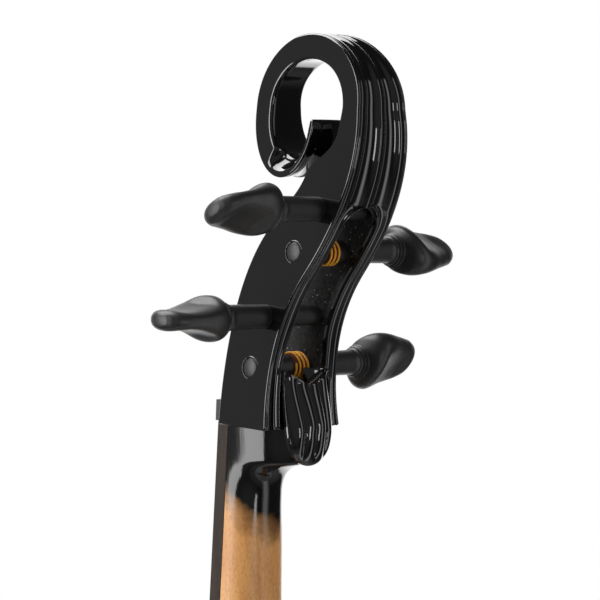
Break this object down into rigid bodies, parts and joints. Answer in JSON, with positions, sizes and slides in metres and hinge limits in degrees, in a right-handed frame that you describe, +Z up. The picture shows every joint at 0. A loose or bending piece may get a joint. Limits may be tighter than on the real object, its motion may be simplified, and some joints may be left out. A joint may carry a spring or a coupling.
{
  "type": "cello",
  "caption": "Full-size electric cello: slim black solid core, pull-out side frames, maple neck and a pierced, fluted volute head with four pegs.",
  "frame": {"origin": "centre of the endpin foot's flat underside, endpin pushed fully in", "axes": "+Z up along the body, strings and fingerboard face -Y, the highest string's side is +X"},
  "size_m": [0.44, 0.2302, 1.2785],
  "materials": {
    "gloss_black": "polished black lacquer",
    "neck_wood": "satin clear maple, lacquered gloss black above the nut",
    "ebony": "satin ebony",
    "bridge_maple": "bare maple",
    "satin_black_wood": "satin black stained hardwood",
    "tailpiece_black": "satin black",
    "cord_black": "woven nylon",
    "winding_silk": "orange silk over-wrap",
    "string_steel": "flat-wound steel",
    "bright_metal": "polished nickel plate",
    "pot_metal": "zinc plate",
    "black_plastic": "fine satin moulding",
    "rubber_black": "matt",
    "circuit_green": "solder mask",
    "battery_case": "plain gold and black can"
  },
  "bodies": {
    "root": {"body_core": "gloss_black", "neck_and_scroll": "neck_wood", "fingerboard": "ebony", "nut": "ebony", "saddle": "ebony", "bridge": "bridge_maple", "tailpiece": "tailpiece_black", "tail_cord": "cord_black", "pickup_bar": "bright_metal", "string_c": "string_steel", "string_g": "string_steel", "string_d": "string_steel", "string_a": "string_steel", "endpin_collar": "black_plastic", "volume_pot": "pot_metal", "tone_pot": "pot_metal", "output_jack": "bright_metal", "headphone_jack": "bright_metal", "preamp_board": "circuit_green", "battery": "battery_case", "battery_box": "black_plastic", "back_cover": "black_plastic", "cover_screws": "bright_metal", "chest_pad": "rubber_black"},
    "peg_c": {"peg_c": "satin_black_wood", "winding_c": "winding_silk"},
    "peg_g": {"peg_g": "satin_black_wood", "winding_g": "winding_silk"},
    "peg_d": {"peg_d": "satin_black_wood", "winding_d": "winding_silk"},
    "peg_a": {"peg_a": "satin_black_wood", "winding_a": "winding_silk"},
    "tuner_screw_c": {"tuner_screw_c": "bright_metal"},
    "tuner_lever_c": {"tuner_lever_c": "bright_metal"},
    "tuner_screw_g": {"tuner_screw_g": "bright_metal"},
    "tuner_lever_g": {"tuner_lever_g": "bright_metal"},
    "tuner_screw_d": {"tuner_screw_d": "bright_metal"},
    "tuner_lever_d": {"tuner_lever_d": "bright_metal"},
    "tuner_screw_a": {"tuner_screw_a": "bright_metal"},
    "tuner_lever_a": {"tuner_lever_a": "bright_metal"},
    "endpin": {"endpin_rod": "bright_metal", "endpin_foot": "rubber_black"},
    "endpin_screw": {"endpin_screw": "bright_metal"},
    "bass_frame": {"bass_frame": "gloss_black", "bass_frame_plugs": "bright_metal", "bass_knee_pad": "rubber_black"},
    "bass_thumbscrew": {"bass_thumbscrew": "bright_metal"},
    "treble_frame": {"treble_frame": "gloss_black", "treble_frame_plugs": "bright_metal", "treble_knee_pad": "rubber_black"},
    "treble_thumbscrew": {"treble_thumbscrew": "bright_metal"},
    "volume_knob": {"volume_knob": "black_plastic"},
    "tone_knob": {"tone_knob": "black_plastic"},
    "battery_door": {"battery_door": "black_plastic"}
  },
  "joints": [
    {"name": "peg_c_turn", "type": "hinge", "parent": "root", "child": "peg_c", "pos_m": [0, 0.03199, 1.10928], "axis": [-1, 0, 0], "continuous": true},
    {"name": "peg_g_turn", "type": "hinge", "parent": "root", "child": "peg_g", "pos_m": [0, 0.0663, 1.16656], "axis": [-1, 0, 0], "continuous": true},
    {"name": "peg_d_turn", "type": "hinge", "parent": "root", "child": "peg_d", "pos_m": [0, 0.08435, 1.18725], "axis": [1, 0, 0], "continuous": true},
    {"name": "peg_a_turn", "type": "hinge", "parent": "root", "child": "peg_a", "pos_m": [0, 0.04324, 1.13547], "axis": [1, 0, 0], "continuous": true},
    {"name": "tuner_screw_c_turn", "type": "hinge", "parent": "root", "child": "tuner_screw_c", "pos_m": [-0.021, -0.07066, 0.23002], "axis": [0, 0.9759, 0.2181], "range_deg": [0, 720]},
    {"name": "tuner_lever_c_tilt", "type": "hinge", "parent": "root", "child": "tuner_lever_c", "pos_m": [-0.021, -0.07276, 0.26234], "axis": [1, 0, 0], "range_deg": [0, 6]},
    {"name": "tuner_screw_g_turn", "type": "hinge", "parent": "root", "child": "tuner_screw_g", "pos_m": [-0.007, -0.07066, 0.23002], "axis": [0, 0.9759, 0.2181], "range_deg": [0, 720]},
    {"name": "tuner_lever_g_tilt", "type": "hinge", "parent": "root", "child": "tuner_lever_g", "pos_m": [-0.007, -0.07276, 0.26234], "axis": [1, 0, 0], "range_deg": [0, 6]},
    {"name": "tuner_screw_d_turn", "type": "hinge", "parent": "root", "child": "tuner_screw_d", "pos_m": [0.007, -0.07066, 0.23002], "axis": [0, 0.9759, 0.2181], "range_deg": [0, 720]},
    {"name": "tuner_lever_d_tilt", "type": "hinge", "parent": "root", "child": "tuner_lever_d", "pos_m": [0.007, -0.07276, 0.26234], "axis": [1, 0, 0], "range_deg": [0, 6]},
    {"name": "tuner_screw_a_turn", "type": "hinge", "parent": "root", "child": "tuner_screw_a", "pos_m": [0.021, -0.07066, 0.23002], "axis": [0, 0.9759, 0.2181], "range_deg": [0, 720]},
    {"name": "tuner_lever_a_tilt", "type": "hinge", "parent": "root", "child": "tuner_lever_a", "pos_m": [0.021, -0.07276, 0.26234], "axis": [1, 0, 0], "range_deg": [0, 6]},
    {"name": "endpin_slide", "type": "slide", "parent": "root", "child": "endpin", "axis": [0, 0, -1], "range_m": [0, 0.28]},
    {"name": "endpin_screw_turn", "type": "hinge", "parent": "root", "child": "endpin_screw", "pos_m": [0, 0, 0.038], "axis": [1, 0, 0], "continuous": true},
    {"name": "bass_frame_pull", "type": "slide", "parent": "root", "child": "bass_frame", "axis": [-1, 0, 0], "range_m": [0, 0.028]},
    {"name": "bass_thumbscrew_turn", "type": "hinge", "parent": "root", "child": "bass_thumbscrew", "pos_m": [-0.03791, 0.03, 0.745], "axis": [0, 1, 0], "continuous": true},
    {"name": "treble_frame_pull", "type": "slide", "parent": "root", "child": "treble_frame", "axis": [1, 0, 0], "range_m": [0, 0.028]},
    {"name": "treble_thumbscrew_turn", "type": "hinge", "parent": "root", "child": "treble_thumbscrew", "pos_m": [0.03791, 0.03, 0.745], "axis": [0, 1, 0], "continuous": true},
    {"name": "volume_knob_turn", "type": "hinge", "parent": "root", "child": "volume_knob", "pos_m": [0.05, -0.014, 0.34077], "axis": [0, -1, 0], "range_deg": [-150, 150]},
    {"name": "tone_knob_turn", "type": "hinge", "parent": "root", "child": "tone_knob", "pos_m": [0.05, -0.014, 0.29277], "axis": [0, -1, 0], "range_deg": [-150, 150]},
    {"name": "battery_door_hinge", "type": "hinge", "parent": "root", "child": "battery_door", "pos_m": [0, 0.031, 0.1628], "axis": [-1, 0, 0], "range_deg": [0, 100]}
  ],
  "couplings": [
    {"joint": "tuner_lever_c_tilt", "follows": "tuner_screw_c_turn", "ratio": 0.0083333},
    {"joint": "tuner_lever_g_tilt", "follows": "tuner_screw_g_turn", "ratio": 0.0083333},
    {"joint": "tuner_lever_d_tilt", "follows": "tuner_screw_d_turn", "ratio": 0.0083333},
    {"joint": "tuner_lever_a_tilt", "follows": "tuner_screw_a_turn", "ratio": 0.0083333}
  ]
}
